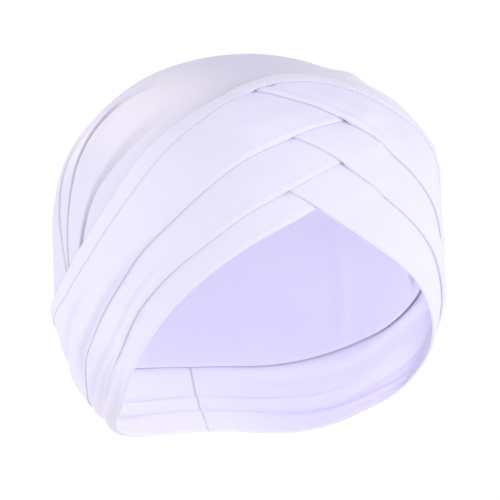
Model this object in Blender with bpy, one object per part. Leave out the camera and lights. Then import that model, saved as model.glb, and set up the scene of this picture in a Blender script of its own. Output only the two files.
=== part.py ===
"""Turban hat of soft jersey, in the form it takes when worn.

A rounded crown is closed by a padded edge band, and the wrap below the band is made of six
folded pleats: three from each side, which cross in a braid over the forehead and meet in a
seam at the nape. The face opening looks toward -Y, and the wearer's left is +X. The origin
is the inner top of the crown, where a head carries the hat.
"""
import bmesh
import bpy
import numpy as np

MM = 0.001

CROWN_WALL = 1.2 * MM
PLEAT_WALL = 1.0 * MM
SEAT_GAP = 0.45 * MM
PLEAT_STEP = PLEAT_WALL + 0.5 * MM
WRAP_SEAT = CROWN_WALL + SEAT_GAP
BAND_HEIGHT = 2.4 * MM
CROWN_TURN_IN = 11.0
SEAM_GAP = 0.5
TOP_STAGGER = 7.0
BACK_END = 179.85
BOXINESS = 0.25

# The inner surface, as reaches in millimetres from the head's centre. The last two are the
# fullness added halfway between front and side, and halfway between side and back.
FORM_COLUMNS = ("elevation", "front", "side", "back", "temple", "behind_ear")
FORM = (
    (-60, 95, 89, 93, 0, 5),
    (-45, 94, 86, 91, 1, 5),
    (-30, 95, 83, 92, 1, 4),
    (-15, 96, 81, 96, -1, 3),
    (0, 97, 80.5, 100, -4, 0),
    (15, 98, 82.8, 101, -3, 0.7),
    (30, 98, 86.6, 99, 1, 0.4),
    (45, 95, 88.2, 95, 1, -0.5),
    (60, 91, 88.3, 91, 0, 1.1),
    (75, 89, 88.5, 88.7, 0, 0.5),
    (90, 88.5, 88.5, 88.5, 0, 0),
)

# Elevations, in degrees, of each line of the wrap. The azimuth runs from the middle of the
# forehead round to the nape, and is negative where a pleat passes under the other side's.
LINE_COLUMNS = ("azimuth", "edge", "seam", "upper", "middle", "lower")
LEFT_LINES = (
    (-20, 51.5, 45.9, 38, 30, 22),
    (-10, 54, 49.8, 35.4, 26, 18),
    (0, 55.7, 50.6, 32.7, 21.6, 14),
    (10, 54.1, 48.7, 29, 16.7, 9),
    (20, 50, 44.8, 24.5, 11.4, 3.5),
    (30, 44.2, 38.7, 18.1, 4.4, -3.7),
    (40, 37.2, 30.5, 10.1, -3, -12.4),
    (50, 29, 21.4, 2.1, -12.6, -23),
    (60, 20, 12.4, -8.9, -24.5, -33),
    (75, 6.8, -0.9, -22.4, -35.5, -43.5),
    (90, -3.6, -9.9, -30.8, -42.5, -49),
    (105, -10.5, -15, -39.2, -46.5, -51.3),
    (120, -14.5, -18.6, -42.5, -48.5, -53),
    (150, -21, -26, -45.8, -51, -55.5),
    (180, -23, -28, -47, -52.5, -57.5),
)
RIGHT_LINES = (
    (-20, 50, 44.8, 47.6, 34.5, 20),
    (-10, 54.1, 48.7, 44.2, 31.3, 17),
    (0, 55.7, 50.6, 40, 26.3, 11.2),
    (10, 54, 49.8, 33.8, 19.6, 5.2),
    (20, 51.5, 45.9, 27.3, 13.2, -0.1),
    (30, 48.1, 41.9, 21, 7.4, -5.8),
    (40, 42.4, 36.6, 14.8, 1.6, -13.8),
    (50, 35.3, 29.4, 6.5, -6, -21.5),
    (60, 26.2, 20.6, -4, -17.5, -30),
    (75, 11, 4.6, -20.5, -33, -42.5),
    (90, -3, -9, -29, -42, -48.5),
    (105, -10.5, -15, -35, -46, -51.3),
    (120, -14.5, -18.6, -41, -48.5, -53),
    (150, -21, -26, -45.5, -51, -55.5),
    (180, -23, -28, -47, -52.5, -57.5),
)

# Pleats from the innermost to the outermost, with the azimuth of the end that is hidden
# under the other side, and how far the top edge tucks up behind the pleat above, in degrees.
PLEAT_COLUMNS = ("node", "side", "line", "above", "front_end", "tuck", "rows")
PLEATS = (
    ("left_lower_pleat", -1, "lower", "middle", -12, 4.0, 4),
    ("right_lower_pleat", 1, "lower", "middle", -19, 4.0, 4),
    ("left_middle_pleat", -1, "middle", "upper", -15, 4.0, 5),
    ("right_middle_pleat", 1, "middle", "upper", -18, 4.0, 5),
    ("left_upper_pleat", -1, "upper", "seam", -19, 0.0, 6),
    ("right_upper_pleat", 1, "upper", "seam", -14, 0.0, 6),
)

# Crown folds that fan up from behind each ear: a path of azimuth and elevation, then the
# depth and half width in millimetres.
FOLDS = (
    (((91, -8), (97, 4), (102, 15), (107, 28), (113, 42), (125, 54)), 2.2, 4.5),
    (((89, -8), (91, 6), (92.5, 18), (91.5, 34), (86, 46), (72, 55), (60, 57)), 2.6, 4.5),
    (((82, -4), (80.5, 9), (74.5, 19), (63.5, 28), (49, 34)), 1.5, 6.0),
    (((128, -20), (130, -6), (134, 8), (140, 20)), 1.2, 6.0),
    (((158, -24), (160, -10), (163, 4)), 1.0, 6.0),
)
CROWN_COLUMNS = 72
CROWN_ROWS = 17
FINE_STEP = 3.6
COARSE_STEP = 8.0
FINE_UNTIL = 60.0
BAND_STEPS = 72

# The band's section: share of the way from its top edge to the seam, share of its height.
BAND_SECTION_COLUMNS = ("across", "height")
BAND_SECTION = (
    (0.08, 0.0),
    (0.5, 0.0),
    (0.92, 0.0),
    (1.0, 0.3),
    (0.97, 0.75),
    (0.78, 1.0),
    (0.25, 1.0),
    (0.04, 0.8),
    (0.0, 0.3),
)

COLOURS = {
    "crown": (0.78, 0.76, 0.92),
    "top_binding": (0.80, 0.78, 0.94),
    "left_lower_pleat": (0.76, 0.74, 0.91),
    "right_lower_pleat": (0.80, 0.79, 0.95),
    "left_middle_pleat": (0.79, 0.77, 0.94),
    "right_middle_pleat": (0.81, 0.80, 0.95),
    "left_upper_pleat": (0.80, 0.79, 0.95),
    "right_upper_pleat": (0.82, 0.81, 0.96),
}
ROUGHNESS = 0.8


def through(x, knots, values):
    """A smooth curve through the values at the knots, with their central slopes."""
    x = np.asarray(x, float)
    slopes = np.gradient(values, knots)
    i = np.clip(np.searchsorted(knots, x) - 1, 0, len(knots) - 2)
    width = knots[i + 1] - knots[i]
    t = (x - knots[i]) / width
    return ((1 + 2 * t) * (1 - t) ** 2 * values[i] + t * (1 - t) ** 2 * width * slopes[i]
            + t ** 2 * (3 - 2 * t) * values[i + 1] + t ** 2 * (t - 1) * width * slopes[i + 1])


def table_curve(table, columns, name, x):
    rows = np.array(table, float)
    return through(x, rows[:, 0], rows[:, columns.index(name)])


def ease(t):
    t = np.clip(t, 0, 1)
    return t * t * (3 - 2 * t)


def reach(azimuth, elevation):
    """Distance from the head's centre to the inner surface, in metres."""
    front, side, back, temple, behind = (
        table_curve(FORM, FORM_COLUMNS, name, elevation) for name in FORM_COLUMNS[1:])
    ahead = np.cos(np.radians(azimuth))
    across = np.abs(np.sin(np.radians(azimuth)))
    along = np.where(ahead > 0, front, back)
    power = 2 + BOXINESS * np.cos(np.radians(elevation)) ** 2
    fullness = np.where(ahead > 0, temple, behind) * np.sin(np.radians(2 * azimuth)) ** 2
    oval = ((np.abs(ahead) / along) ** power + (across / side) ** power) ** (-1 / power)
    return (oval + fullness) * MM


HEAD_CENTRE = -float(reach(0.0, 90.0))


def place(azimuth, elevation, offset):
    """Row-frame positions of points that stand off the inner surface by the offset."""
    distance = reach(azimuth, elevation) + offset
    turn, rise = np.radians(azimuth), np.radians(elevation)
    return np.stack((distance * np.cos(rise) * np.sin(turn),
                     -distance * np.cos(rise) * np.cos(turn),
                     distance * np.sin(rise) + HEAD_CENTRE), axis=-1)


def line(side, name, azimuth):
    """Elevation of a line of the wrap, at azimuths counted toward its own side."""
    return table_curve(LEFT_LINES if side < 0 else RIGHT_LINES, LINE_COLUMNS, name, azimuth)


def ring_line(name, azimuth):
    """Elevation of the edge or the seam at any azimuth, from -180 to 180."""
    left = line(-1, name, np.abs(azimuth))
    right = line(1, name, np.abs(azimuth))
    return np.where(azimuth < 0, left, right)


def pleat_top(pleat, azimuth):
    node, side, name, above, front_end, tuck, rows = pleat
    seam = ring_line("seam", side * azimuth) - SEAM_GAP
    if above == "seam":
        return seam
    narrowing = 1 - 0.3 * ease((azimuth - 70) / 40)
    return np.minimum(line(side, above, azimuth) + tuck * narrowing, seam - TOP_STAGGER)


def cover(pleat, azimuth, elevation):
    """One where a pleat lies or is close by, falling to nothing some way off its edges."""
    node, side, name, above, front_end, tuck, rows = pleat
    along = side * azimuth
    safe = np.clip(along, -20, 180)
    past = np.maximum(elevation - pleat_top(pleat, safe), line(side, name, safe) - elevation)
    before = (front_end - along) * np.cos(np.radians(elevation))
    away = np.hypot(np.maximum(past, 0) * 0.8, np.maximum(before, 0) * 0.5)
    return 1 - ease((away - 5.0) / 6.5)


def pleat_offset(index, azimuth, elevation):
    layers = sum(cover(pleat, azimuth, elevation) for pleat in PLEATS[:index])
    return WRAP_SEAT + PLEAT_STEP * layers


def fold_depth(azimuth, elevation):
    """How deep the crown's folds sink its surface at each point, in metres."""
    here = place(azimuth, elevation, 0.0)
    depth = np.zeros(here.shape[:-1])
    for path, deepest, half_width in FOLDS:
        stops = np.array(path, float)
        t = np.linspace(0, len(stops) - 1, 60)
        knots = np.arange(len(stops), dtype=float)
        along_azimuth = through(t, knots, stops[:, 0])
        along_elevation = through(t, knots, stops[:, 1])
        fade = ease((1 - t / t[-1]) / 0.3)
        for side in (-1, 1):
            centre = place(side * along_azimuth, along_elevation, 0.0)
            gap = np.linalg.norm(here[..., None, :] - centre, axis=-1)
            dent = fade * np.exp(-(gap / (half_width * MM)) ** 2)
            depth = np.maximum(depth, deepest * MM * dent.max(axis=-1))
    return depth


def new_object(name, bm):
    mesh = bpy.data.meshes.new(name)
    bm.to_mesh(mesh)
    bm.free()
    mesh.shade_smooth()
    piece = bpy.data.objects.new(name, mesh)
    bpy.context.scene.collection.objects.link(piece)
    material = bpy.data.materials.new(name)
    material.use_nodes = True
    shader = material.node_tree.nodes["Principled BSDF"]
    shader.inputs["Base Color"].default_value = (*COLOURS[name], 1)
    shader.inputs["Roughness"].default_value = ROUGHNESS
    shader.inputs["Metallic"].default_value = 0.0
    material.diffuse_color = (*COLOURS[name], 1)
    mesh.materials.append(material)
    return piece


def thicken(piece, wall):
    """Gives an inner surface its cloth thickness, outward."""
    solid = piece.modifiers.new("cloth", "SOLIDIFY")
    solid.thickness = wall
    solid.offset = 1.0
    solid.use_even_offset = False


def grid_faces(bm, grid, closed):
    """Quads between neighbouring rows of vertices, with their faces pointing outward."""
    count = len(grid)
    for i in range(count if closed else count - 1):
        this, following = grid[i], grid[(i + 1) % count]
        for j in range(len(this) - 1):
            bm.faces.new((this[j], following[j], following[j + 1], this[j + 1]))


def make_crown():
    azimuths = np.linspace(-180, 180, CROWN_COLUMNS, endpoint=False)
    hem = ring_line("edge", azimuths) - CROWN_TURN_IN
    share = np.linspace(0, 1, CROWN_ROWS + 1)[:-1]
    azimuth, up = np.meshgrid(azimuths, share, indexing="ij")
    elevation = hem[:, None] + (90 - hem[:, None]) * up
    positions = place(azimuth, elevation, -fold_depth(azimuth, elevation))
    bm = bmesh.new()
    grid = [[bm.verts.new(p) for p in column] for column in positions]
    grid_faces(bm, grid, closed=True)
    top = bm.verts.new(place(0.0, 90.0, 0.0))
    for i, column in enumerate(grid):
        bm.faces.new((column[-1], grid[(i + 1) % len(grid)][-1], top))
    thicken(new_object("crown", bm), CROWN_WALL)


def make_pleat(index):
    pleat = PLEATS[index]
    node, side, name, above, front_end, tuck, rows = pleat
    fine = np.arange(front_end, FINE_UNTIL, FINE_STEP)
    coarse = np.linspace(FINE_UNTIL, BACK_END, round((BACK_END - FINE_UNTIL) / COARSE_STEP) + 1)
    along = np.concatenate((fine, coarse))
    low = line(side, name, along)
    high = pleat_top(pleat, along)
    share = np.linspace(0, 1, rows + 1)
    azimuth = np.repeat(side * along[:, None], rows + 1, axis=1)
    elevation = low[:, None] + (high - low)[:, None] * share
    positions = place(azimuth, elevation, pleat_offset(index, azimuth, elevation))
    if side < 0:
        positions = positions[::-1]
    bm = bmesh.new()
    grid = [[bm.verts.new(p) for p in column] for column in positions]
    grid_faces(bm, grid, closed=False)
    thicken(new_object(node, bm), PLEAT_WALL)


def make_band():
    azimuths = np.linspace(-180, 180, BAND_STEPS, endpoint=False)
    edge = ring_line("edge", azimuths)
    seam = ring_line("seam", azimuths)
    across, height = np.array(BAND_SECTION).T
    azimuth = np.repeat(azimuths[:, None], len(across), axis=1)
    elevation = edge[:, None] + (seam - edge)[:, None] * across
    offset = WRAP_SEAT + BAND_HEIGHT * height
    positions = place(azimuth, elevation, offset[None, :])
    bm = bmesh.new()
    loops = [[bm.verts.new(p) for p in ring] for ring in positions]
    count = len(loops)
    for i, this in enumerate(loops):
        following = loops[(i + 1) % count]
        for j in range(len(this)):
            k = (j + 1) % len(this)
            bm.faces.new((this[j], this[k], following[k], following[j]))
    bmesh.ops.recalc_face_normals(bm, faces=bm.faces)
    new_object("top_binding", bm)


def main():
    for old in list(bpy.data.objects):
        bpy.data.objects.remove(old, do_unlink=True)
    make_crown()
    make_band()
    for index in range(len(PLEATS)):
        make_pleat(index)


main()
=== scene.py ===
"""Turban hat of soft white jersey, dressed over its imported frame.

The crown, the padded edge band and the six crossing pleats are surfaces worked out from one
head form. Azimuth is 0 at the middle of the forehead and grows toward the wearer's left, and
elevation is 0 at the height of the head's centre, both in degrees.
"""

import bpy
import numpy as np
from bpy.props import FloatProperty, FloatVectorProperty, IntProperty, PointerProperty
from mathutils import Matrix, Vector


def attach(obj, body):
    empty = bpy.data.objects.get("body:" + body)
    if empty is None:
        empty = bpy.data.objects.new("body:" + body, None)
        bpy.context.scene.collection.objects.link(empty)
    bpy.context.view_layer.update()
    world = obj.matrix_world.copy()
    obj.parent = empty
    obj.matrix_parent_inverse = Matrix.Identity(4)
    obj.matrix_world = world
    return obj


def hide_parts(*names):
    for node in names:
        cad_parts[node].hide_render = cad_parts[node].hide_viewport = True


bl_info = {
    "name": "Turban Hat",
    "version": (1, 0, 0),
    "blender": (4, 5, 0),
    "location": "3D View > Sidebar > Turban Hat",
    "description": "Builds the cloth of a crossed-pleat turban hat over its frame",
    "category": "Add Mesh",
}

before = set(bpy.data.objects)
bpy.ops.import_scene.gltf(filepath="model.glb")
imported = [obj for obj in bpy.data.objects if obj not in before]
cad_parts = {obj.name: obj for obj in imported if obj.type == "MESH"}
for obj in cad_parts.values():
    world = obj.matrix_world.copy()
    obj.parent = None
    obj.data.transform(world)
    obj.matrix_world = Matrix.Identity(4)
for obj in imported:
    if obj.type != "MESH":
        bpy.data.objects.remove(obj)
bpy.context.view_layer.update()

MM = 0.001

# Millimetres to a degree on the head form, the size of the knit's loops, and the room that
# a lip keeps where it sinks to the level of the cloth beside it.
MM_PER_DEGREE = 1.6
WALE = 0.85 * MM
COURSE = 0.65 * MM
LIP_ROOM = 0.04 * MM

# The head form, as reaches in millimetres from the head's centre. The last two are the
# fullness added halfway between front and side, and halfway between side and back.
FORM_COLUMNS = ("elevation", "front", "side", "back", "temple", "behind_ear")
FORM = (
    (-60, 95, 89, 93, 0, 5),
    (-45, 94, 86, 91, 1, 5),
    (-30, 95, 83, 92, 1, 4),
    (-15, 96, 81, 96, -1, 3),
    (0, 97, 80.5, 100, -4, 0),
    (15, 98, 82.8, 101, -3, 0.7),
    (30, 98, 86.6, 99, 1, 0.4),
    (45, 95, 88.2, 95, 1, -0.5),
    (60, 91, 88.3, 91, 0, 1.1),
    (75, 89, 88.5, 88.7, 0, 0.5),
    (90, 88.5, 88.5, 88.5, 0, 0),
)
BOXINESS = 0.25

# Elevations of each line of the wrap, by azimuth counted toward the pleat's own side.
LINE_COLUMNS = ("azimuth", "edge", "seam", "upper", "middle", "lower")
LEFT_LINES = (
    (-20, 51.5, 45.9, 38, 30, 22),
    (-10, 54, 49.8, 35.4, 26, 18),
    (0, 55.7, 50.6, 32.7, 21.6, 14),
    (10, 54.1, 48.7, 29, 16.7, 9),
    (20, 50, 44.8, 24.5, 11.4, 3.5),
    (30, 44.2, 38.7, 18.1, 4.4, -3.7),
    (40, 37.2, 30.5, 10.1, -3, -12.4),
    (50, 29, 21.4, 2.1, -12.6, -23),
    (60, 20, 12.4, -8.9, -24.5, -33),
    (75, 6.8, -0.9, -22.4, -35.5, -43.5),
    (90, -3.6, -9.9, -30.8, -42.5, -49),
    (105, -10.5, -15, -39.2, -46.5, -51.3),
    (120, -14.5, -18.6, -42.5, -48.5, -53),
    (150, -21, -26, -45.8, -51, -55.5),
    (180, -23, -28, -47, -52.5, -57.5),
)
RIGHT_LINES = (
    (-20, 50, 44.8, 47.6, 34.5, 20),
    (-10, 54.1, 48.7, 44.2, 31.3, 17),
    (0, 55.7, 50.6, 40, 26.3, 11.2),
    (10, 54, 49.8, 33.8, 19.6, 5.2),
    (20, 51.5, 45.9, 27.3, 13.2, -0.1),
    (30, 48.1, 41.9, 21, 7.4, -5.8),
    (40, 42.4, 36.6, 14.8, 1.6, -13.8),
    (50, 35.3, 29.4, 6.5, -6, -21.5),
    (60, 26.2, 20.6, -4, -17.5, -30),
    (75, 11, 4.6, -20.5, -33, -42.5),
    (90, -3, -9, -29, -42, -48.5),
    (105, -10.5, -15, -35, -46, -51.3),
    (120, -14.5, -18.6, -41, -48.5, -53),
    (150, -21, -26, -45.5, -51, -55.5),
    (180, -23, -28, -47, -52.5, -57.5),
)

# Pleats from the innermost out: name, side, its fold's line, the line above it, the azimuth
# of its hidden front end, the tuck behind the pleat above in degrees, and the width, length
# and area of its cloth pressed flat, in metres.
PLEATS = (
    ("left_lower_pleat", -1, "lower", "middle", -12, 4.0, (0.024, 0.293, 0.0045)),
    ("right_lower_pleat", 1, "lower", "middle", -19, 4.0, (0.033, 0.306, 0.0059)),
    ("left_middle_pleat", -1, "middle", "upper", -15, 4.0, (0.031, 0.308, 0.0063)),
    ("right_middle_pleat", 1, "middle", "upper", -18, 4.0, (0.032, 0.315, 0.0063)),
    ("left_upper_pleat", -1, "upper", "seam", -19, 0.0, (0.037, 0.322, 0.0092)),
    ("right_upper_pleat", 1, "upper", "seam", -17.5, 0.0, (0.052, 0.320, 0.0098)),
)

# In degrees: where the pleats end at the nape, how far their tops reach under the band and
# stay below each other, and how far the crown's hem reaches under the band.
BACK_END = 179.96
BAND_TUCK = 1.3
TOP_STAGGER = 7.0
CROWN_TURN_IN = 11.0

# Radii by which the cloth is laid flat, and the band's width, in metres, and the share of
# that width at which the seam is sewn.
CROWN_RADIUS = 0.092
PLEAT_RADIUS = 0.085
BAND_RADIUS = 0.080
BAND_WIDTH = 0.009
STITCH_LEVEL = 0.15

# Soft ridges along the pleats. Each has the fold line of its pleats, the side (0 for both),
# its middle in degrees of elevation above the fold, its half width in degrees, its height
# in millimetres, and the azimuths where it starts, is full, starts to fade and has gone.
RIDGES = (
    ("upper", 1, 1.1, 0.9, 0.30, -18, -8, 30, 60),
    ("upper", 1, 3.6, 1.5, -0.60, -18, -8, 8, 26),
    ("upper", -1, 1.0, 0.8, 0.24, -20, 0, 60, 80),
    ("upper", -1, 2.0, 1.5, -0.85, 50, 64, 86, 100),
    ("upper", -1, 5.0, 1.8, 0.45, 56, 74, 150, 175),
    ("upper", -1, 7.6, 2.6, 0.80, 86, 104, 130, 165),
    ("upper", 0, 9.0, 2.4, 0.75, 50, 85, 150, 178),
    ("upper", 0, 15.5, 2.6, 0.70, 40, 80, 150, 178),
    ("middle", 0, 1.0, 0.8, 0.24, -20, -5, 50, 62),
    ("middle", -1, 4.2, 1.4, -0.35, 18, 34, 60, 85),
    ("middle", 0, 6.6, 1.8, 0.95, 22, 52, 150, 178),
    ("middle", 0, 2.8, 1.4, 0.85, 56, 74, 150, 178),
    ("lower", 0, 1.0, 1.0, 0.22, -20, 0, 50, 70),
    ("lower", 0, 4.6, 1.2, 0.55, 56, 70, 110, 150),
)

# Valleys between the ridges that get painted shade: the same, with a painted shade from 0 to 1
# as their height.
VALLEYS = (
    ("upper", -1, 1.8, 1.5, 0.65, 46, 60, 90, 108),
    ("upper", -1, 13.5, 2.2, 0.35, 70, 84, 110, 130),
    ("middle", -1, 4.8, 1.2, 0.55, 58, 74, 110, 150),
    ("lower", 0, 6.8, 0.9, 0.90, 64, 80, 130, 160),
    ("lower", -1, 2.4, 0.9, 0.55, 62, 76, 110, 150),
)

# Folds of the crown behind each ear, as rows of azimuth and elevation, and in millimetres
# the depth of the groove, the widths of its floor and of its far side behind the fold, the
# width of its near side, and how far the fold's lip hangs over it.
CROWN_FOLDS = (
    (
        (91, -8, 1.6, 0.4, 2.2, 0.9, 0.8),
        (97, 6, 2, 0.5, 2.5, 0.9, 0.9),
        (102, 15, 2.2, 0.6, 3.2, 0.9, 0.9),
        (105, 23.5, 2.2, 0.7, 4.2, 1, 0.7),
        (104.5, 31.5, 1.6, 0.9, 5.5, 1.6, 0.4),
        (101, 42, 0.7, 1, 6, 2.5, 0),
        (97, 52, 0, 1, 6, 3, 0),
    ),
    (
        (90, -8, 1.8, 0.4, 2.4, 0.9, 0.8),
        (90.6, 7, 2.2, 0.4, 2.1, 0.9, 0.9),
        (91.1, 18, 2.6, 0.4, 2.3, 0.9, 1),
        (91.3, 28, 3.4, 0.5, 2.9, 0.8, 1),
        (91.1, 37, 4.4, 0.7, 4, 0.7, 1.2),
        (89.8, 43, 3.3, 0.9, 5, 0.9, 1),
        (86.2, 48.8, 1.5, 1.3, 6.5, 1.6, 0.5),
        (78, 54.2, 1.1, 1.5, 8, 2.6, 0.2),
        (67.5, 58.3, 0.4, 1.4, 11, 4, 0),
        (58, 60, 0, 1.5, 12, 6, 0),
    ),
    (
        (82, -4, 2.6, 0.3, 1.3, 1.4, 0),
        (78.3, 9, 2.3, 0.3, 1.6, 1.6, 0),
        (73.5, 19, 1.6, 0.3, 2, 1.9, 0),
        (64, 27, 1.5, 0.4, 2.8, 2.4, 0),
        (56, 33, 1.1, 0.5, 3.8, 3.4, 0),
        (49, 38, 0.7, 0.5, 5, 4.5, 0),
        (42, 41, 0, 0.5, 6, 5.5, 0),
    ),
    (
        (128, -20, 1.4, 0.5, 6, 5, 0),
        (130, -6, 1.3, 0.5, 7, 6, 0),
        (134, 8, 0.8, 0.5, 8, 7, 0),
        (140, 20, 0, 0.5, 9, 8, 0),
    ),
    (
        (158, -24, 1.2, 0.5, 6, 6, 0),
        (160, -10, 1, 0.5, 7, 7, 0),
        (163, 6, 0, 0.5, 8, 8, 0),
    ),
)

# Stops round each half of the crown and the spacing of its columns there, in degrees.
CROWN_STOPS = (0, 66, 76, 79, 82, 87.5, 88.8, 90.3, 91.5, 95.5, 96.8, 98.3, 100, 108, 180)
CROWN_SPACINGS = (1.7, 1.4, 0.6, 0.4, 0.6, 0.5, 0.14, 0.14, 0.4, 0.45, 0.18, 0.18, 0.5,
                  1.4, 2.2)

# Elevations, and the azimuths there that the crown's columns at three stations keep to, so
# that each runs near one fold.
GUIDE_STATIONS = (78.0, 90.0, 98.0)
GUIDES = (
    (-40, 83, 89, 90),
    (-8, 82, 89.6, 91.2),
    (6, 79, 90.3, 97),
    (16, 75, 91.2, 102.5),
    (24, 70.5, 91.4, 105),
    (32, 67, 91.3, 104.5),
    (42, 65, 90.2, 101.5),
    (55, 62, 86.5, 98.5),
    (90, 61, 85.5, 98),
)

# Places where the cloth has another tone: the part, azimuth and elevation, the sides that
# have it, the distances in metres where the tone starts to fade and has gone, its share, and
# its name. Some of these tones are painted light and painted shade.
BOTH, ONE = (-1, 1), (1,)
TONE_SPOTS = (
    # Painted light on the crown beside its folds behind the ears.
    ("crown", 65, 50, BOTH, 0.014, 0.045, 0.75, "painted_light_tint"),
    ("crown", 101, 36, BOTH, 0.006, 0.022, 0.75, "painted_light_tint"),
    # Painted shade over the crown's top, which faces the dim light above.
    ("crown", -20, 80, ONE, 0.012, 0.055, 0.9, "top_shade_tint"),
    ("crown", 30, 62, ONE, 0.004, 0.030, 0.3, "fold_tint"),
    ("pleat", -5, 44, ONE, 0.018, 0.054, 0.9, "taut_tint"),
    # Painted shade on the pleats low behind the wearer's right ear.
    ("pleat", -82, -39, ONE, 0.008, 0.040, 0.45, "low_shade_tint"),
    ("pleat", 98, -50, BOTH, 0.004, 0.022, 0.8, "fold_tint"),
)

# The painted shade tone of each part, laid on points down in its folds and valleys.
SHADED = {"crown": "fold_shade_tint", "pleat": "valley_shade_tint"}


class HatSettings(bpy.types.PropertyGroup):
    """Sizes and colours of the hat."""

    crown_wall: FloatProperty(
        name="Crown Wall", description="Thickness of the crown's cloth",
        default=1.2 * MM, min=0.5 * MM, max=3 * MM, unit="LENGTH")
    pleat_wall: FloatProperty(
        name="Pleat Wall", description="Thickness of a pleat at its fold",
        default=1.31 * MM, min=0.5 * MM, max=3 * MM, unit="LENGTH")
    fold_round: FloatProperty(
        name="Fold Rounding", description="How far the fold of a pleat is rounded",
        default=0.45 * MM, min=0.1 * MM, max=1 * MM, unit="LENGTH")
    layer_step: FloatProperty(
        name="Layer Step", description="How far each pleat stands off the one under it",
        default=1.4 * MM, min=0.5 * MM, max=4 * MM, unit="LENGTH")
    wrap_seat: FloatProperty(
        name="Wrap Seat", description="Height of the lowest layer above the head form",
        default=1.65 * MM, min=0.5 * MM, max=4 * MM, unit="LENGTH")
    band_edge: FloatProperty(
        name="Band Edge", description="Thickness of the band's lips",
        default=0.42 * MM, min=0.3 * MM, max=3 * MM, unit="LENGTH")
    band_pad: FloatProperty(
        name="Band Padding", description="Extra thickness in the middle of the band",
        default=0.9 * MM, min=0, max=4 * MM, unit="LENGTH")
    nape_roll: FloatProperty(
        name="Nape Roll", description="Extra thickness of the rim where it rolls at the nape",
        default=1.6 * MM, min=0, max=4 * MM, unit="LENGTH")
    fold_depth: FloatProperty(
        name="Fold Depth", description="Scale of the crown's folds",
        default=1.0, min=0, max=2, subtype="FACTOR")
    stitch_pitch: FloatProperty(
        name="Stitch Pitch", description="Distance between seam stitches",
        default=2.3 * MM, min=1 * MM, max=6 * MM, unit="LENGTH")
    stitch_radius: FloatProperty(
        name="Stitch Radius", description="Half the thickness of the sewing thread",
        default=0.26 * MM, min=0.05 * MM, max=1 * MM, unit="LENGTH")
    cloth_colour: FloatVectorProperty(
        name="Cloth Colour", description="White jersey with its lilac cast",
        default=(0.748, 0.728, 0.888), size=3, min=0, max=1, subtype="COLOR")
    crown_colour: FloatVectorProperty(
        name="Crown Colour", description="The same jersey in its single layer over the crown",
        default=(0.702, 0.676, 0.832), size=3, min=0, max=1, subtype="COLOR")
    fold_tint: FloatVectorProperty(
        name="Fold Tint", description="Warmer tone of the pleats where they are lowest",
        default=(0.77, 0.69, 0.78), size=3, min=0, max=1, subtype="COLOR")
    taut_tint: FloatVectorProperty(
        name="Taut Tint", description="Paler and cooler tone of the taut cloth over the brow",
        default=(0.785, 0.762, 0.965), size=3, min=0, max=1, subtype="COLOR")
    # Painted light: a paler and warmer tone on the crown beside its folds behind the ears.
    painted_light_tint: FloatVectorProperty(
        name="Slack Tint", description="Paler and warmer tone of the slack cloth by the folds",
        default=(0.865, 0.808, 0.935), size=3, min=0, max=1, subtype="COLOR")
    # Painted shade: a quieter tone over the crown's top, which faces the dim light above.
    top_shade_tint: FloatVectorProperty(
        name="Top Tint", description="Quieter tone of the cloth stretched over the top",
        default=(0.665, 0.640, 0.82), size=3, min=0, max=1, subtype="COLOR")
    # Painted shade down in the crown's folds.
    fold_shade_tint: FloatVectorProperty(
        name="Deep Tint", description="Dusky tone down in the crown's folds",
        default=(0.38, 0.34, 0.43), size=3, min=0, max=1, subtype="COLOR")
    # Painted shade down in the soft valleys of the pleats.
    valley_shade_tint: FloatVectorProperty(
        name="Valley Tint", description="Tone down in the soft valleys of the pleats",
        default=(0.61, 0.585, 0.80), size=3, min=0, max=1, subtype="COLOR")
    # Painted shade: a quieter tone on the pleats low behind the ear.
    low_shade_tint: FloatVectorProperty(
        name="Low Tint", description="Quieter tone of the pleats low behind the ear",
        default=(0.66, 0.64, 0.78), size=3, min=0, max=1, subtype="COLOR")
    cool_tint: FloatVectorProperty(
        name="Cool Tint", description="Cooler tone of the thin stretched cloth",
        default=(0.71, 0.71, 0.91), size=3, min=0, max=1, subtype="COLOR")


class StageSettings(bpy.types.PropertyGroup):
    """The view, the light and the floor."""

    azimuth: FloatProperty(
        name="Azimuth", description="Direction of the camera round the hat, in degrees",
        default=-20.0)
    elevation: FloatProperty(
        name="Elevation", description="Height of the camera over the horizon, in degrees",
        default=1.0)
    distance: FloatProperty(
        name="Distance", description="Camera distance from the head's centre",
        default=1.5, unit="LENGTH")
    frame_width: FloatProperty(
        name="Frame Width", description="Width of the view at the hat",
        default=0.22, unit="LENGTH")
    image_size: IntProperty(
        name="Image Size", description="Width and height of the picture, in pixels",
        default=500)
    centre_column: FloatProperty(
        name="Centre Column", description="Picture column of the head's centre, in pixels",
        default=247.0)
    centre_row: FloatProperty(
        name="Centre Row", description="Picture row of the head's centre, in pixels",
        default=258.0)
    floor_drop: FloatProperty(
        name="Floor Drop", description="Distance from the crown's top down to the floor",
        default=0.75, unit="LENGTH")
    floor_radius: FloatProperty(
        name="Floor Radius", description="Size of the round floor",
        default=4.2, unit="LENGTH")
    horizon_light: FloatProperty(
        name="Horizon Light", description="Brightness of the surroundings at eye level",
        default=1.03, min=0)
    overhead_light: FloatProperty(
        name="Overhead Light", description="Brightness of the surroundings above",
        default=0.78, min=0)
    right_power: FloatProperty(
        name="Right Light", description="Power of the soft light on the right, in watts",
        default=13.4, min=0)
    left_power: FloatProperty(
        name="Left Light", description="Power of the soft light on the left, in watts",
        default=5.6, min=0)
    back_power: FloatProperty(
        name="Back Light", description="Power of the soft light behind on the left, in watts",
        default=6.2, min=0)
    hollow_power: FloatProperty(
        name="Hollow Light", description="Power of the fill light in the hollow, in watts",
        default=0.06, min=0)


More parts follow.
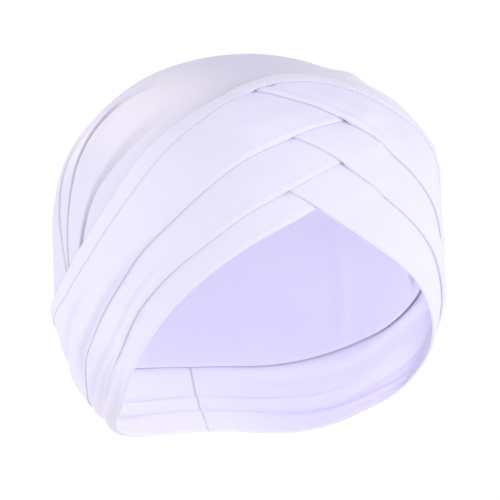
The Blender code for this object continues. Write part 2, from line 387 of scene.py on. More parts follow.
def through(x, knots, values):
    """A smooth curve through values at knots: cubic pieces that share central slopes."""
    x = np.asarray(x, float)
    slopes = np.gradient(values, knots)
    i = np.clip(np.searchsorted(knots, x) - 1, 0, len(knots) - 2)
    width = knots[i + 1] - knots[i]
    t = (x - knots[i]) / width
    return ((1 + 2 * t) * (1 - t) ** 2 * values[i] + t * (1 - t) ** 2 * width * slopes[i]
            + t ** 2 * (3 - 2 * t) * values[i + 1] + t ** 2 * (t - 1) * width * slopes[i + 1])


def table_curve(table, columns, name, x):
    """One named column of a table, as a smooth curve over its first column."""
    rows = np.array(table, float)
    return through(x, rows[:, 0], rows[:, columns.index(name)])


def ease(t):
    """Zero below 0, one above 1, and 3t squared less 2t cubed between."""
    t = np.clip(t, 0, 1)
    return t * t * (3 - 2 * t)


def bell(x):
    """One at 0, falling as e to the minus x squared."""
    return np.exp(-x * x)


def reach(azimuth, elevation):
    """Distance from the head's centre to the head form, in metres: a superellipse through
    the front or back reach and the side reach, plus fullness times sin squared of twice the
    azimuth."""
    front, side, back, temple, behind = (
        table_curve(FORM, FORM_COLUMNS, name, elevation) for name in FORM_COLUMNS[1:])
    ahead = np.cos(np.radians(azimuth))
    across = np.abs(np.sin(np.radians(azimuth)))
    along = np.where(ahead > 0, front, back)
    power = 2 + BOXINESS * np.cos(np.radians(elevation)) ** 2
    fullness = np.where(ahead > 0, temple, behind) * np.sin(np.radians(2 * azimuth)) ** 2
    oval = ((np.abs(ahead) / along) ** power + (across / side) ** power) ** (-1 / power)
    return (oval + fullness) * MM


HEAD_CENTRE = -float(reach(0.0, 90.0))


def place(azimuth, elevation, offset):
    """Points at the form's reach plus the offset, along each direction from the head's
    centre."""
    distance = reach(azimuth, elevation) + offset
    turn, rise = np.radians(azimuth), np.radians(elevation)
    return np.stack((distance * np.cos(rise) * np.sin(turn),
                     -distance * np.cos(rise) * np.cos(turn),
                     distance * np.sin(rise) + HEAD_CENTRE), axis=-1)


def line(side, name, azimuth):
    """Elevation of a line of the wrap at azimuths counted toward its own side."""
    return table_curve(LEFT_LINES if side < 0 else RIGHT_LINES, LINE_COLUMNS, name, azimuth)


def ring_line(name, azimuth):
    """Elevation of the edge or the seam all round, from azimuth -180 to 180."""
    return np.where(azimuth < 0, line(-1, name, np.abs(azimuth)),
                    line(1, name, np.abs(azimuth)))


def pleat_top(pleat, azimuth):
    """Elevation of a pleat's upper edge: at the seam, or tucked up behind the pleat above."""
    name, side, fold, above, front_end, tuck, flat = pleat
    seam = ring_line("seam", side * azimuth)
    if above == "seam":
        return seam + BAND_TUCK
    narrowing = 1 - 0.3 * ease((azimuth - 70) / 40)
    return np.minimum(line(side, above, azimuth) + tuck * narrowing, seam - TOP_STAGGER)


def cover(pleat, azimuth, elevation, steep):
    """One on a pleat and just past its edges, easing to zero a few degrees off it, more
    slowly past its hidden front end, and sooner below its fold the steeper it is."""
    name, side, fold, above, front_end, tuck, flat = pleat
    along = side * azimuth
    safe = np.clip(along, -20, 180)
    below = (line(side, fold, safe) - elevation) * steep
    past = np.maximum((elevation - pleat_top(pleat, safe)) * 0.5, below)
    before = (front_end - along) * np.cos(np.radians(elevation))
    away = np.hypot(np.maximum(past, 0), np.maximum(before, 0) * 0.4)
    return 1 - ease((away - 0.2) / 4.8)


def spread(stops, spacings):
    """Numbers from the first stop to the last, whose spacing changes evenly from each
    stop's own spacing to the next one's."""
    fine = np.linspace(stops[0], stops[-1], 20000)
    density = 1 / np.interp(fine, stops, spacings)
    count = np.concatenate(([0], np.cumsum((density[1:] + density[:-1]) / 2 * np.diff(fine))))
    total = max(2, round(count[-1]))
    return np.interp(np.linspace(0, count[-1], total + 1), count, fine)


def enclosed(points, faces):
    """Signed volume of a closed surface: the sum over its triangles of a . (b x c) / 6."""
    total = 0.0
    for block in faces:
        a = points[block[:, 0]]
        for k in range(1, block.shape[1] - 1):
            total += np.einsum("ij,ij->", a, np.cross(points[block[:, k]],
                                                      points[block[:, k + 1]]))
    return total / 6


def new_piece(name, points, faces, cloth, material, shade=None):
    """A smooth closed mesh from points, and blocks of faces with their corners' places on
    the flat cloth, turned so that its faces point outward. The shade tells each point how
    much painted shade it gets, by how deep in a fold or valley it lies, from 0 to 1."""
    if enclosed(points, faces) < 0:
        faces = [block[:, ::-1] for block in faces]
        cloth = [block[:, ::-1] for block in cloth]
    corners = np.concatenate([block.ravel() for block in faces])
    sizes = np.concatenate([np.full(len(block), block.shape[1]) for block in faces])
    starts = np.cumsum(sizes) - sizes
    mesh = bpy.data.meshes.new(name)
    mesh.vertices.add(len(points))
    mesh.vertices.foreach_set("co", points.astype(np.float32).ravel())
    mesh.loops.add(len(corners))
    mesh.loops.foreach_set("vertex_index", corners.astype(np.int32))
    mesh.polygons.add(len(sizes))
    mesh.polygons.foreach_set("loop_start", starts.astype(np.int32))
    flat = np.concatenate([block.reshape(-1, 2) for block in cloth])
    mesh.uv_layers.new(name="cloth").data.foreach_set("uv", flat.astype(np.float32).ravel())
    if shade is not None:
        mesh.attributes.new("shade", "FLOAT", "POINT").data.foreach_set(
            "value", shade.astype(np.float32).ravel())
    mesh.update(calc_edges=True)
    if mesh.validate():
        raise RuntimeError(name + " has faces that had to be mended")
    mesh.shade_smooth()
    mesh.materials.append(material)
    piece = bpy.data.objects.new(name, mesh)
    bpy.context.scene.collection.objects.link(piece)
    return piece


def grid_blocks(rows, columns, ring, loop, cloth):
    """Four-cornered faces of a grid of points, and their corners' places on the cloth. A ring
    closes the rows on themselves and a loop closes the columns, and the array of cloth
    places has one row or column more there."""
    i, j = np.meshgrid(np.arange(rows if ring else rows - 1),
                       np.arange(columns if loop else columns - 1), indexing="ij")
    i, j = i.ravel(), j.ravel()
    i = np.stack((i, i + 1, i + 1, i), axis=1)
    j = np.stack((j, j, j + 1, j + 1), axis=1)
    return (i % rows) * columns + j % columns, cloth[i, j]


def crown_folds(azimuth, elevation):
    """How the folds move and shade the crown: a sink in metres, shifts of azimuth and
    elevation in degrees, and a painted shade from 0 to 1. Across a fold, the groove has a
    flat floor and a soft far side behind the fold, and ahead of it a near side whose lip
    leans back over the groove as sine squared."""
    here = np.stack((azimuth.ravel(), elevation.ravel()), axis=1)
    shade = np.zeros(len(here))
    sink = np.zeros(len(here))
    shift = np.zeros((len(here), 2))
    for rows in CROWN_FOLDS:
        stops = np.array(rows, float)
        t = np.linspace(0, len(stops) - 1, 160)
        path = np.stack([through(t, np.arange(float(len(stops))), column)
                         for column in stops.T], axis=1)
        depth, floor, rise, wall, lip = (path[:, k] for k in range(2, 7))
        ahead = np.gradient(path[:, :2], axis=0)
        for side in (-1, 1):
            near = np.flatnonzero((here[:, 0] * side > path[:, 0].min() - 12)
                                  & (here[:, 0] * side < path[:, 0].max() + 22))
            shrink = np.cos(np.radians(here[near, 1]))
            across = (here[near, 0, None] * side - path[:, 0]) * shrink[:, None]
            up = here[near, 1, None] - path[:, 1]
            k = (across ** 2 + up ** 2).argmin(axis=1)
            r = np.arange(len(k))
            run = np.stack((ahead[k, 0] * shrink, ahead[k, 1]), axis=1)
            run = run / np.linalg.norm(run, axis=1)[:, None]
            off = (run[:, 0] * up[r, k] - run[:, 1] * across[r, k]) * MM_PER_DEGREE
            behind = 1 - ease((-off - floor[k]) / rise[k])
            front = 1 - ease(off / wall[k])
            dent = np.maximum(depth[k], 0) * np.where(off < 0, behind, front)
            lean = lip[k] * np.sin(np.pi * np.clip(off / (2 * wall[k]), 0, 1)) ** 2
            # Painted shade: darkest on the fold's far side where it comes into view, fading
            # ahead of the lip.
            dark = np.where(off < 0, 1 - ease((-off - 0.7 * rise[k]) / rise[k] / 1.2),
                            1 - ease(2 * off / wall[k]))
            dark = dark * ease(depth[k] / 4)
            shade[near] = np.maximum(shade[near], dark)
            deeper = dent >= sink[near]
            sink[near] = np.where(deeper, dent, sink[near])
            turned = np.stack((lean * run[:, 1] / shrink * side, -lean * run[:, 0]), axis=1)
            shift[near] = np.where(deeper[:, None] & (dent[:, None] + lean[:, None] > 0),
                                   turned / MM_PER_DEGREE, shift[near])
    return (each.reshape(azimuth.shape)
            for each in (sink * MM, shift[:, 0], shift[:, 1], shade))


def crown_relief(azimuth, elevation):
    """Soft relief of the crown, in metres: a slack hollow behind each ear, a puckered swell
    over the wearer's left brow, and fine gathers just above the band."""
    above = elevation - ring_line("edge", azimuth)
    size = np.abs(azimuth)
    slack = -0.4 * bell((size - 112) / 30) * ease((8 - elevation) / 20)
    pouch = (2.3 * bell((azimuth - 53) / 13) * bell((elevation - 59.5) / 4.2)
             + 2.4 * bell((azimuth - 66) / 24) * bell((elevation - 44) / 10))
    spoke = np.sin(np.radians(azimuth * 22) + 1.5 * np.sin(np.radians(azimuth * 7)))
    window = ease((azimuth - 2) / 22) * ease((78 - azimuth) / 22)
    fine = 0.28 * spoke * window * ease(above / 2) * ease((14 - above) / 11)
    return (slack + pouch + fine * ease(above / 3)) * MM


def crown_azimuth(station, elevation):
    """Azimuth of the crown's columns: even between the front, the three guides of each side
    and the back, so that a column runs near each deep fold."""
    rows = np.array(GUIDES, float)
    marks = (0.0, *GUIDE_STATIONS, 180.0)
    values = (0.0, *(through(elevation, rows[:, 0], rows[:, k]) for k in (1, 2, 3)), 180.0)
    size = np.abs(station)
    result = np.zeros_like(elevation)
    for k in range(4):
        share = (size - marks[k]) / (marks[k + 1] - marks[k])
        inside = (share >= 0) & (share <= 1)
        result = np.where(inside, values[k] + (values[k + 1] - values[k]) * share, result)
    return np.sign(station) * result


def make_crown(hat):
    """The crown: a shell on the head form from its hidden hem up to a pole, outer wall,
    turned hem and inner wall, sunk along the folds and swollen by the relief."""
    half = spread(CROWN_STOPS, CROWN_SPACINGS)
    stations = np.concatenate((-half[:0:-1], half[:-1]))
    share = np.linspace(0, 1, 113)[:-1]
    station, up = np.meshgrid(stations, share, indexing="ij")
    azimuth = station.copy()
    for _ in range(5):
        hem = ring_line("edge", azimuth) - CROWN_TURN_IN
        elevation = hem + (90 - hem) * up
        azimuth = crown_azimuth(station, elevation)
    sink, turned, raised, shade = crown_folds(azimuth, elevation)
    strength = hat.fold_depth * ease((elevation - hem) / 7)
    form = crown_relief(azimuth, elevation) - sink * strength
    azimuth = azimuth + turned * strength
    elevation = elevation + raised * strength
    inner = place(azimuth, elevation, form)
    outer = place(azimuth, elevation, form + hat.crown_wall)
    middle = place(azimuth[:, :1], elevation[:, :1] - 0.35,
                   form[:, :1] + hat.crown_wall / 2)
    shell = np.concatenate((inner[:, ::-1], middle, outer), axis=1)
    rows, columns = shell.shape[:2]
    points = np.concatenate((shell.reshape(-1, 3), place(np.zeros(2), np.full(2, 90.0),
                                                         np.array([0.0, hat.crown_wall]))))
    down = np.radians(90 - np.concatenate((elevation[:, ::-1], elevation[:, :1],
                                           elevation), axis=1)) * CROWN_RADIUS
    turn = np.radians(np.concatenate((azimuth[:, ::-1], azimuth[:, :1], azimuth), axis=1))
    flat = np.stack((down * np.sin(turn), down * np.cos(turn)), axis=-1)
    flat = np.concatenate((flat, flat[:1]), axis=0)
    faces, cloth = grid_blocks(rows, columns, True, False, flat)
    i = np.arange(rows)
    after = (i + 1) % rows
    last = columns - 1
    tips = np.zeros((rows, 1, 2))
    inner_fan = np.stack((after * columns, i * columns, np.full(rows, rows * columns)), axis=1)
    inner_cloth = np.concatenate((flat[i + 1, :1], flat[i, :1], tips), axis=1)
    outer_fan = np.stack((i * columns + last, after * columns + last,
                          np.full(rows, rows * columns + 1)), axis=1)
    outer_cloth = np.concatenate((flat[i, last:], flat[i + 1, last:], tips), axis=1)
    bare = np.zeros_like(shade)
    shade = np.append(np.concatenate((bare, bare[:, :1], shade), axis=1), (0, 0))
    return new_piece("crown_cloth", points, [faces, inner_fan, outer_fan],
                     [cloth, inner_cloth, outer_cloth],
                     jersey(hat, "crown", hat.crown_colour, 0.1), shade)


def section(face):
    """A thin strip's section, down its outer face, round the low end in a quarter of an
    ellipse, up its inner face and over the high end in a half: shares of its width, how far
    the ends bulge in radii, heights from 0 inside to 1 outside, and the way round as shares
    of the width."""
    arc = np.linspace(0, np.pi, 9)[1:-1]
    still = np.zeros(len(face))
    share = np.concatenate((face[::-1], 0 * arc, face, 0 * arc + 1))
    bulge = np.concatenate((still, -np.sin(arc * 4 / 7), still, np.sin(arc)))
    height = np.concatenate((still + 1, np.cos(arc * 4 / 7), still,
                             0.5 - 0.5 * np.cos(arc)))
    way = np.concatenate((1 - face[::-1], 1.01 + 0 * arc, 1.02 + face, 2.03 + 0 * arc, [2.04]))
    return share, bulge, height, way


def over_brow(azimuth):
    """One over the brow, easing to zero past the wearer's right and left temples."""
    return ease((azimuth + 26) / 20) * ease((78 - azimuth) / 20)


def band_faces(hat, azimuth, elevation):
    """Heights of the band's inner and outer faces over the head form: the inner lies on the
    crown and the pleats, and the outer is padded in the middle, flatter on the wearer's
    left, and puckered over the brow, where each stitch gathers its lower lip."""
    low, high = ring_line("seam", azimuth), ring_line("edge", azimuth)
    share = np.clip((elevation - low) / (high - low), 0, 1)
    under = sum(cover(pleat, azimuth, elevation, 3) for pleat in PLEATS)
    layers = sum(cover(pleat, azimuth, elevation, 1.5) for pleat in PLEATS)
    inner = (hat.wrap_seat + hat.layer_step * under
             - (hat.layer_step - hat.pleat_wall - LIP_ROOM) * ease(2 - share * 4)
             - 0.35 * MM * ease(share * 4 - 3))
    brow = over_brow(azimuth)
    count = azimuth * 61 + 40 * np.sin(np.radians(azimuth * 9))
    slope = share * 160
    pucker = (np.sin(np.radians(azimuth * 257)) * bell((share - 0.10) / 0.22) * 0.26
              + np.sin(np.radians(count + slope)) * bell((share - 0.5) / 0.4) * 0.12)
    slow = np.sin(np.radians(azimuth * 13) + 2 * np.sin(np.radians(azimuth * 3)))
    middle = np.sin(np.pi * np.clip(share, 0.02, 0.98)) ** 0.8
    flat = 0.45 * ease((azimuth - 26) / 12) * ease((150 - azimuth) / 30)
    outer = (inner + hat.layer_step * (layers - under)
             + hat.band_edge * (0.75 + 0.25 * brow - flat)
             + hat.band_pad * middle * (0.5 + 0.5 * brow)
             + (pucker * brow + 0.05 * slow) * MM * (0.3 + 0.7 * middle))
    return inner, outer


def make_band(hat):
    """The padded edge band: a section with rounded lips carried all round, whose lower lip
    lies over the tops of the pleats."""
    azimuth = spread((-180, -34, -24, 76, 84, 180), (1.4, 1.0, 0.24, 0.24, 1.0, 1.4))[:-1]
    face = spread((0, 0.1, 0.5, 0.9, 1), (0.03, 0.06, 0.09, 0.06, 0.03))
    share, bulge, height, way = section(face)
    low, high = ring_line("seam", azimuth)[:, None], ring_line("edge", azimuth)[:, None]
    radius = hat.band_edge / 2 / MM / MM_PER_DEGREE
    elevation = low + radius + (high - low - 2 * radius) * share + radius * bulge
    turn = np.broadcast_to(azimuth[:, None], elevation.shape)
    inner, outer = band_faces(hat, turn, elevation)
    points = place(turn, elevation, inner + (outer - inner) * height)
    rows, columns = points.shape[:2]
    along = np.radians(np.append(azimuth, 180.0))[:, None] * BAND_RADIUS
    flat = np.stack(np.broadcast_arrays(way[None, :] * BAND_WIDTH, along), axis=-1)
    faces, cloth = grid_blocks(rows, columns, True, True, flat)
    return new_piece("binding_cloth", points.reshape(-1, 3), [faces], [cloth],
                     jersey(hat, "binding", hat.cloth_colour, 0.35))


def stitch_line(azimuth):
    """Elevation of the sewn seam: a fixed share of the way from the seam up to the edge."""
    return (ring_line("seam", azimuth) * (1 - STITCH_LEVEL)
            + ring_line("edge", azimuth) * STITCH_LEVEL)


def make_stitches(hat):
    """Seam stitches on the band: short threads, each a round section whose radius swells
    from its ends, laid end to end just above the lower lip."""
    fine = np.linspace(-180, 180, 4001)
    path = place(fine, stitch_line(fine), 4 * MM)
    run = np.concatenate(([0], np.cumsum(np.linalg.norm(np.diff(path, axis=0), axis=1))))
    count = int(run[-1] / hat.stitch_pitch)
    starts = (np.arange(count) + 0.2) * run[-1] / count
    t = np.linspace(0, 1, 7)
    azimuth = np.interp(starts[:, None] + t * hat.stitch_pitch * 0.6, run, fine)
    elevation = stitch_line(azimuth)
    lift = band_faces(hat, azimuth, elevation)[1] - 0.10 * MM * (1 - np.sin(np.pi * t))
    turn = np.linspace(0, 2 * np.pi, 7)[:-1]
    brow = over_brow(azimuth)
    radius = (hat.stitch_radius * np.maximum(np.sin(np.pi * t), 0.12) ** 0.5
              * (0.5 + 0.5 * brow))
    rise = elevation[..., None] + radius[..., None] * np.cos(turn) / MM / MM_PER_DEGREE
    offset = lift[..., None] + radius[..., None] * np.sin(turn)
    points = place(np.broadcast_to(azimuth[..., None], rise.shape), rise, offset)
    corners = grid_blocks(7, 6, False, True, np.zeros((8, 7, 2)))[0]
    first = np.arange(count)[:, None] * 42
    caps = first + np.arange(6)
    faces = [(first[:, :, None] + corners).reshape(-1, 4), caps, caps[:, ::-1] + 36]
    cloth = [np.zeros((*block.shape, 2)) for block in faces]
    return new_piece("seam_stitches", points.reshape(-1, 3), faces, cloth, thread(hat))


def relief(table, fold, side, along, above):
    """Height of the ridges or valleys of a pleat, by azimuth and by degrees above its fold:
    bells across it that ease in and out along it."""
    height = np.zeros(above.shape)
    for name, only, middle, half_width, tall, start, full, fading, gone in table:
        if name == fold and only in (0, side):
            window = ease((along - start) / (full - start))
            window = window * ease((gone - along) / (gone - fading))
            height = height + tall * window * bell((above - middle) / half_width)
    return height


def make_pleat(hat, index):
    """One pleat: a thin folded strip carried from its hidden front end round to the nape,
    with soft ridges where it's in sight. Its inner face follows the pleats under it and
    its outer face bridges them. Its lip is thinner than the rest. The lowest pleats roll
    at the nape, and the others thin out onto them behind the ear. Points in its valleys
    get painted shade."""
    name, side, fold, above, front_end, tuck, flat_size = PLEATS[index]
    along = spread((front_end, 60, BACK_END), (0.75, 0.8, 1.1))
    face = spread((0, 0.08, 0.3, 0.8, 1), (0.008, 0.02, 0.03, 0.03, 0.03))
    share, bulge, height, way = section(face)
    low = line(side, fold, along)[:, None]
    high = np.maximum(pleat_top(PLEATS[index], along), low[:, 0] + 0.9)[:, None]
    radius = hat.fold_round / MM / MM_PER_DEGREE
    elevation = low + radius + (high - low - 2 * radius) * share + radius * bulge
    turn = np.broadcast_to(along[:, None], elevation.shape)
    under = sum(cover(pleat, side * turn, elevation, 3) for pleat in PLEATS[:index])
    layers = sum(cover(pleat, side * turn, elevation, 1) for pleat in PLEATS[:index])
    hidden = sum(cover(pleat, side * turn, elevation, 1.5) for pleat in PLEATS[index + 1:])
    rise = elevation - low
    ridges = relief(RIDGES, fold, side, turn, rise) * np.clip(1 - hidden, 0, 1) * MM
    # Painted shade in the pleat's valleys.
    shade = np.clip(relief(VALLEYS, fold, side, turn, rise), 0, 1)
    wall = np.full(turn.shape, hat.pleat_wall)
    flush = 0.0
    if fold == "lower":
        seen = np.clip(rise / (line(side, "middle", along)[:, None] - low), 0, 1)
        wall = wall + hat.nape_roll * np.sin(np.pi * seen) ** 0.8 * ease((turn - 70) / 30)
    if fold == "middle":
        flush = ease((turn - 58) / 12) * bell(rise / 3.4)
    elif fold == "upper":
        flush = 0.5 * ease((turn - 62) / 16) * bell(rise / 2.6)
    wall = wall * (1 - 0.94 * flush) * (1 - 0.35 * bell(rise / 0.9) * (1 - flush))
    wall = wall + hat.layer_step * (layers - under)
    offset = (hat.wrap_seat + hat.layer_step * under + wall * height
              - (hat.layer_step - hat.pleat_wall - LIP_ROOM) * flush
              + np.where(ridges > 0, ridges, ridges * height))
    points = place(side * turn, elevation, offset)
    rows, columns = points.shape[:2]
    u, v = np.broadcast_arrays(way[None, :] * flat_size[0],
                               (np.radians(along) * PLEAT_RADIUS)[:, None])
    flat = np.stack((u, v), axis=-1)
    faces, cloth = grid_blocks(rows, columns, False, True, flat)
    blocks, places = [faces], [cloth]
    n = len(face)
    m = (columns - 2 * n) // 2
    outer = np.arange(n)[::-1]
    inner = np.arange(n) + n + m
    for row, turned in ((0, False), (rows - 1, True)):
        base = row * columns
        end = np.stack((outer[:-1], outer[1:], inner[1:], inner[:-1]), axis=1) + base
        tip_low = (np.arange(m + 2) + n - 1)[None, :] + base
        tip_high = np.concatenate((np.arange(m + 1) + 2 * n + m - 1, [0]))[None, :] + base
        for block in (end, tip_low, tip_high):
            block = block[:, ::-1] if turned else block
            blocks.append(block)
            places.append(flat[row, block - base])
    return new_piece(name + "_cloth", points.reshape(-1, 3), blocks, places,
                     jersey(hat, "pleat", hat.cloth_colour, 0.25), shade)


class Sum:
    """A shader value or colour whose operators add nodes."""

    def __init__(self, tree, socket):
        self.tree = tree
        self.socket = socket

    def node(self, kind, settings, inputs, output=0):
        """A node of a type, with its settings made first and then its inputs."""
        made = self.tree.nodes.new(kind)
        for key, value in settings.items():
            setattr(made, key, value)
        for key, value in inputs.items():
            if isinstance(value, Sum):
                self.tree.links.new(value.socket, made.inputs[key])
            else:
                made.inputs[key].default_value = value
        return Sum(self.tree, made.outputs[output])

    def math(self, operation, first, second=0.0):
        """A Math node of the operation on one or two values."""
        return self.node("ShaderNodeMath", {"operation": operation}, {0: first, 1: second})

    def __add__(self, other):
        return self.math("ADD", self, other)

    def __radd__(self, other):
        return self.math("ADD", other, self)

    def __sub__(self, other):
        return self.math("SUBTRACT", self, other)

    def __rsub__(self, other):
        return self.math("SUBTRACT", other, self)

    def __mul__(self, other):
        return self.math("MULTIPLY", self, other)

    def __rmul__(self, other):
        return self.math("MULTIPLY", other, self)

    def sine(self):
        return self.math("SINE", self)

    def size(self):
        return self.math("ABSOLUTE", self)

    def between(self, low, high):
        """Zero at the low value, one at the high one, and smooth in between."""
        return self.node("ShaderNodeMapRange", {"interpolation_type": "SMOOTHSTEP"},
                         {0: self, 1: low, 2: high, 3: 0.0, 4: 1.0})


def start_material(name):
    """A new material's shader, and the values that its expressions start from."""
    material = bpy.data.materials.new(name)
    material.use_nodes = True
    tree = material.node_tree
    shader = tree.nodes["Principled BSDF"]
    places = tree.nodes.new("ShaderNodeTexCoord")
    return material, tree, shader, places


def blend(value, first, second, share):
    """A colour that goes from the first to the second with the share."""
    return value.node("ShaderNodeMix", {"data_type": "RGBA"},
                      {0: share, 6: first, 7: second}, 2)


def noise(where, scale, detail=2.0, roughness=0.5):
    """Uneven values round a half, at places on the object."""
    return where.node("ShaderNodeTexNoise", {}, {"Vector": where, "Scale": scale,
                                                 "Detail": detail, "Roughness": roughness})


def jersey(hat, part, colour, cool):
    """Fine white jersey: columns of knit loops at a fixed size on the cloth, with painted
    shade in the hollows between the loops, a faint uneven tone, and cooler patches. It has
    other tones round the spots of its part, some of them painted light and painted shade, and
    painted shade down in folds and valleys."""
    name = "jersey_" + part
    if name in bpy.data.materials:
        return bpy.data.materials[name]
    material, tree, shader, places = start_material(name)
    where = Sum(tree, places.outputs["Object"])
    cloth = Sum(tree, places.outputs["UV"])
    parts = where.node("ShaderNodeSeparateXYZ", {}, {0: cloth})
    across = Sum(tree, parts.socket.node.outputs[0])
    along = Sum(tree, parts.socket.node.outputs[1])
    column = (across * (np.pi / WALE)).sine().size()
    loops = (along * (2 * np.pi / COURSE) + column * 2.4).sine()
    knit = column * 0.7 + loops * 0.3
    slub = noise(where, 900.0, 3.0, 0.6)
    broad = noise(where, 22.0)
    tone = blend(where, (*colour, 1.0), (*hat.cool_tint, 1.0),
                 broad.between(0.52, 0.75) * cool)
    for spot_part, azimuth, elevation, sides, near, far, share, tint in TONE_SPOTS:
        for side in sides if spot_part == part else ():
            spot = tuple(place(np.array(azimuth * side), np.array(elevation), 0.0))
            away = where.node("ShaderNodeVectorMath", {"operation": "DISTANCE"},
                              {0: where, 1: spot}, 1)
            tone = blend(where, tone, (*getattr(hat, tint), 1.0),
                         (1 - away.between(near, far)) * share)
    # Painted shade down in the crown's folds and the pleats' valleys.
    if part in SHADED:
        depth = where.node("ShaderNodeAttribute", {"attribute_name": "shade"}, {}, "Fac")
        tone = blend(where, tone, (*getattr(hat, SHADED[part]), 1.0), depth * 0.9)
    # Painted shade in the hollows between the knit loops, and an uneven tone of the yarn.
    shade = blend(where, tone, (0.68, 0.67, 0.80, 1.0), (1 - knit) * 0.05 + slub * 0.02)
    roughness = 0.82 + slub * 0.1 - knit * 0.05
    bump = where.node("ShaderNodeBump", {}, {"Strength": 0.25, "Distance": 0.12 * MM,
                                             "Height": knit * 0.8 + slub * 0.35})
    tree.links.new(shade.socket, shader.inputs["Base Color"])
    tree.links.new(roughness.socket, shader.inputs["Roughness"])
    tree.links.new(bump.socket, shader.inputs["Normal"])
    shader.inputs["Specular IOR Level"].default_value = 0.25
    shader.inputs["Sheen Weight"].default_value = 0.12
    shader.inputs["Sheen Roughness"].default_value = 0.5
    return material


def thread(hat):
    """Twisted white sewing thread: strands that turn round it, with a painted highlight on the
    strands and painted shade between them.
    """
    material, tree, shader, places = start_material("sewing_thread")
    where = Sum(tree, places.outputs["Object"])
    twist = where.node("ShaderNodeTexWave", {"wave_type": "BANDS"},
                       {"Vector": where, "Scale": 1600.0, "Distortion": 1.0})
    strands = Sum(tree, twist.socket.node.outputs["Fac"])
    # Painted highlight on the strands and painted shade in the bands between them.
    tone = blend(where, (0.82, 0.80, 0.92, 1.0), (0.90, 0.89, 0.97, 1.0), strands)
    bump = where.node("ShaderNodeBump", {}, {"Strength": 0.3, "Distance": 0.05 * MM,
                                             "Height": strands})
    tree.links.new(tone.socket, shader.inputs["Base Color"])
    tree.links.new(bump.socket, shader.inputs["Normal"])
    shader.inputs["Roughness"].default_value = 0.6
    return material


def floor_material():
    """Plain pale floor paint with the faintest mottling."""
    material, tree, shader, places = start_material("pale_floor")
    where = Sum(tree, places.outputs["Object"])
    mottle = noise(where, 3.0, 4.0)
    tone = blend(where, (0.90, 0.90, 0.90, 1.0), (0.86, 0.86, 0.87, 1.0), mottle)
    tree.links.new(tone.socket, shader.inputs["Base Color"])
    shader.inputs["Roughness"].default_value = 0.9
    shader.inputs["Emission Color"].default_value = (1, 1, 1, 1)
    shader.inputs["Emission Strength"].default_value = 0.12
    return material


def facing(azimuth, elevation):
    """The direction of length one at an azimuth and an elevation."""
    turn, rise = np.radians(azimuth), np.radians(elevation)
    return Vector((np.sin(turn) * np.cos(rise), -np.cos(turn) * np.cos(rise), np.sin(rise)))


def soft_light(name, size, power, spot, away):
    """A square light of a size at a spot, which shines against the direction away."""
    light = bpy.data.lights.new(name, "AREA")
    light.size = size
    light.energy = power
    lamp = bpy.data.objects.new(name, light)
    bpy.context.scene.collection.objects.link(lamp)
    lamp.location = spot
    lamp.rotation_mode = "QUATERNION"
    lamp.rotation_quaternion = away.to_track_quat("Z", "Y")
    return lamp


class HAT_OT_crown(bpy.types.Operator):
    """Builds the rounded crown with its folds."""

    bl_idname = "hat.crown"
    bl_label = "Crown"

    def execute(self, context):
        crown = make_crown(context.scene.hat)
        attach(crown, "root")
        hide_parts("crown")
        return {"FINISHED"}


class HAT_OT_binding(bpy.types.Operator):
    """Builds the padded edge band and its seam stitches."""

    bl_idname = "hat.binding"
    bl_label = "Edge Band"

    def execute(self, context):
        band = make_band(context.scene.hat)
        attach(band, "root")
        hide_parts("top_binding")
        stitches = make_stitches(context.scene.hat)
        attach(stitches, "root")
        return {"FINISHED"}


class HAT_OT_pleats(bpy.types.Operator):
    """Builds the six crossing pleats."""

    bl_idname = "hat.pleats"
    bl_label = "Pleats"

    def execute(self, context):
        for index, pleat in enumerate(PLEATS):
            piece = make_pleat(context.scene.hat, index)
            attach(piece, "root")
            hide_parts(pleat[0])
        return {"FINISHED"}


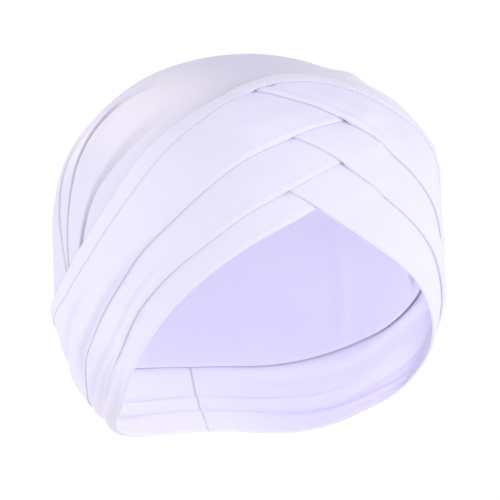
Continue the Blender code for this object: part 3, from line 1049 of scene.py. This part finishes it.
class HAT_OT_stage(bpy.types.Operator):
    """Sets the camera, the soft surroundings and the pale floor."""

    bl_idname = "hat.stage"
    bl_label = "Stage"

    def execute(self, context):
        stage = context.scene.hat_stage
        centre = Vector((0, 0, HEAD_CENTRE))
        back = facing(stage.azimuth, stage.elevation)
        right = facing(stage.azimuth + 90, 0)
        up = back.cross(right)
        pixel = stage.frame_width / stage.image_size
        middle = stage.image_size / 2
        target = (centre + right * (middle - stage.centre_column) * pixel
                  + up * (stage.centre_row - middle) * pixel)
        lens = bpy.data.cameras.new("view")
        lens.sensor_width = 36.0
        lens.lens = 36.0 * stage.distance / stage.frame_width
        camera = bpy.data.objects.new("view", lens)
        context.scene.collection.objects.link(camera)
        camera.location = target + back * stage.distance
        camera.rotation_mode = "QUATERNION"
        camera.rotation_quaternion = back.to_track_quat("Z", "Y")
        context.scene.camera = camera

        for name, side, height, power in (
                ("right_light", 66, 4, stage.right_power),
                ("left_light", -50, 4, stage.left_power),
                ("back_light", -100, 12, stage.back_power)):
            away = facing(stage.azimuth + side, height)
            soft_light(name, 1.2, power, centre + away * 2.2, away)
        fill = soft_light("hollow_light", 0.08, stage.hollow_power,
                          centre + Vector((0, -0.03, -0.02)), facing(0, -10))
        fill.visible_camera = False

        turn = np.linspace(0, 2 * np.pi, 97)[:-1]
        rim = np.stack((np.cos(turn), np.sin(turn), 0 * turn), axis=1) * stage.floor_radius
        rim[:, 2] = -stage.floor_drop
        mesh = bpy.data.meshes.new("floor")
        mesh.from_pydata(rim.tolist(), [], [list(range(96))])
        mesh.materials.append(floor_material())
        floor = bpy.data.objects.new("floor", mesh)
        context.scene.collection.objects.link(floor)

        world = bpy.data.worlds.new("studio")
        context.scene.world = world
        world.use_nodes = True
        tree = world.node_tree
        places = tree.nodes.new("ShaderNodeTexCoord")
        where = Sum(tree, places.outputs["Generated"])
        parts = where.node("ShaderNodeSeparateXYZ", {}, {0: where})
        height = Sum(tree, parts.socket.node.outputs[2])
        strength = (stage.horizon_light
                    - height.between(0.1, 0.85) * (stage.horizon_light - stage.overhead_light))
        background = tree.nodes["Background"]
        background.inputs["Color"].default_value = (1, 1, 1, 1)
        tree.links.new(strength.socket, background.inputs["Strength"])
        context.scene.view_settings.view_transform = "Standard"
        context.scene.view_settings.look = "None"
        return {"FINISHED"}


class HAT_PT_panel(bpy.types.Panel):
    """Lists the steps and sizes of the turban hat."""

    bl_idname = "HAT_PT_panel"
    bl_label = "Turban Hat"
    bl_space_type = "VIEW_3D"
    bl_region_type = "UI"
    bl_category = "Turban Hat"

    def draw(self, context):
        for operator in OPERATORS:
            self.layout.operator(operator.bl_idname)
        for group, settings in ((HatSettings, context.scene.hat),
                                (StageSettings, context.scene.hat_stage)):
            box = self.layout.box()
            for name in group.__annotations__:
                box.prop(settings, name)


OPERATORS = (HAT_OT_crown, HAT_OT_binding, HAT_OT_pleats, HAT_OT_stage)
CLASSES = (HatSettings, StageSettings, *OPERATORS, HAT_PT_panel)


def register():
    for each in CLASSES:
        bpy.utils.register_class(each)
    bpy.types.Scene.hat = PointerProperty(type=HatSettings)
    bpy.types.Scene.hat_stage = PointerProperty(type=StageSettings)


def unregister():
    del bpy.types.Scene.hat_stage
    del bpy.types.Scene.hat
    for each in reversed(CLASSES):
        bpy.utils.unregister_class(each)


def main():
    """Builds every piece in order."""
    register()
    bpy.ops.hat.crown()
    bpy.ops.hat.binding()
    bpy.ops.hat.pleats()
    bpy.ops.hat.stage()


if __name__ == "__main__":
    main()
